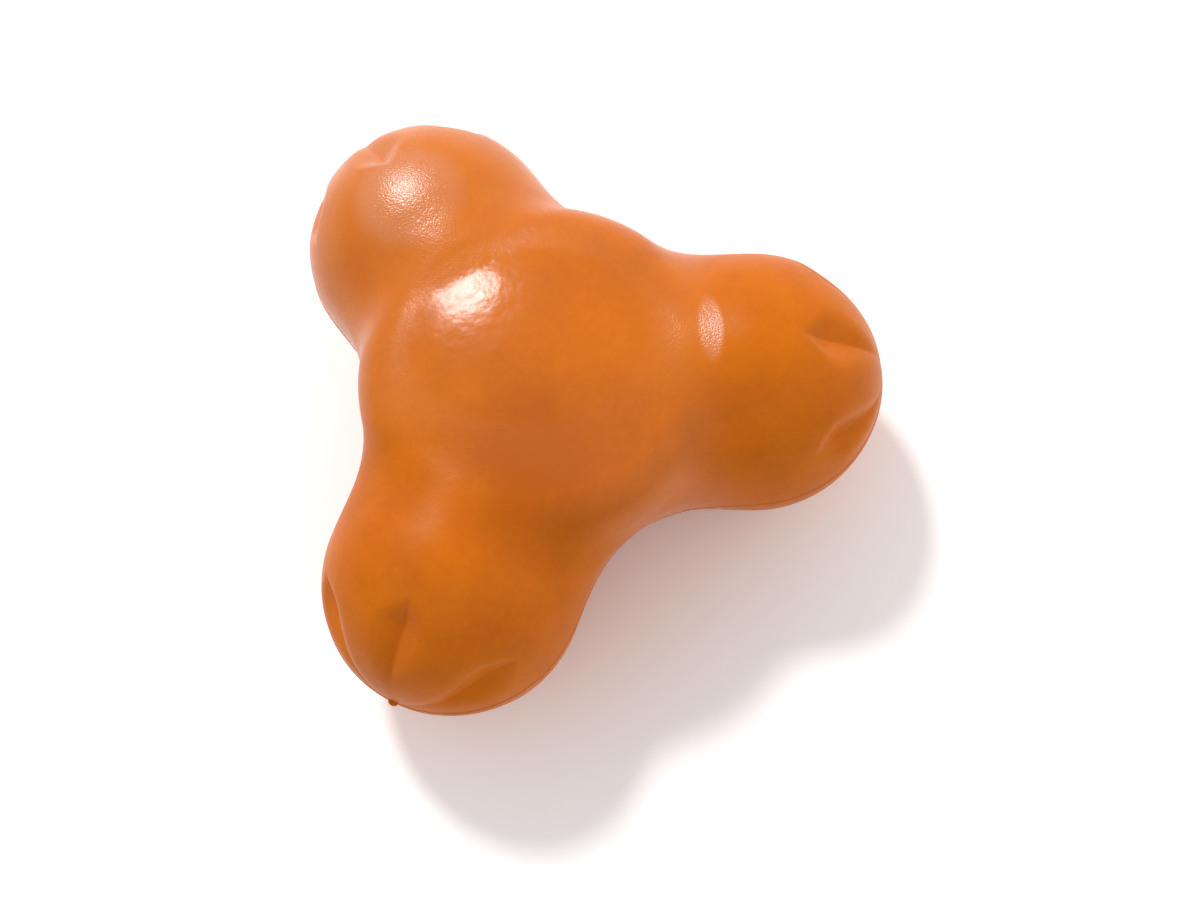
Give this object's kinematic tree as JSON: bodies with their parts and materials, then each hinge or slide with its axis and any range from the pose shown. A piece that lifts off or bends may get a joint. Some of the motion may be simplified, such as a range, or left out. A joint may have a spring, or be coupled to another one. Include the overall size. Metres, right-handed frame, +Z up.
{
  "type": "rubber chew toy",
  "caption": "Lobed hollow rubber chew toy: a low-domed hub with a treat pocket open underneath, waisted necks that bend, and round lobes with fluted ends.",
  "frame": {"origin": "on the toy's three-fold axis, at the throat of the treat mouth in the underside (the lower end of the straight throat wall)", "axes": "+Z up through the dome along the three-fold axis; +X along the right lobe; the rear lobe is at 120 degrees and the front lobe at 240 degrees about +Z"},
  "size_m": [0.117, 0.127, 0.0536],
  "materials": {
    "orange_rubber": "semi-gloss moulded rubber with a fine eroded grain"
  },
  "bodies": {
    "hub": {"hollow_hub": "orange_rubber", "right_neck": "orange_rubber", "rear_neck": "orange_rubber", "front_neck": "orange_rubber"},
    "right_lobe": {"right_lobe": "orange_rubber"},
    "rear_lobe": {"rear_lobe": "orange_rubber"},
    "front_lobe": {"front_lobe": "orange_rubber"}
  },
  "joints": [
    {"name": "right_neck_bend", "type": "hinge", "parent": "hub", "child": "right_lobe", "pos_m": [0.03045, 0, 0.01557], "axis": [0, 1, 0], "range_deg": [-8, 8], "stiffness_Nm_per_rad": 25, "deforming": ["right_neck"]},
    {"name": "rear_neck_bend", "type": "hinge", "parent": "hub", "child": "rear_lobe", "pos_m": [-0.01522, 0.02637, 0.01557], "axis": [-0.866, -0.5, 0], "range_deg": [-8, 8], "stiffness_Nm_per_rad": 25, "deforming": ["rear_neck"]},
    {"name": "front_neck_bend", "type": "hinge", "parent": "hub", "child": "front_lobe", "pos_m": [-0.01522, -0.02637, 0.01557], "axis": [0.866, -0.5, 0], "range_deg": [-8, 8], "stiffness_Nm_per_rad": 25, "deforming": ["front_neck"]}
  ]
}
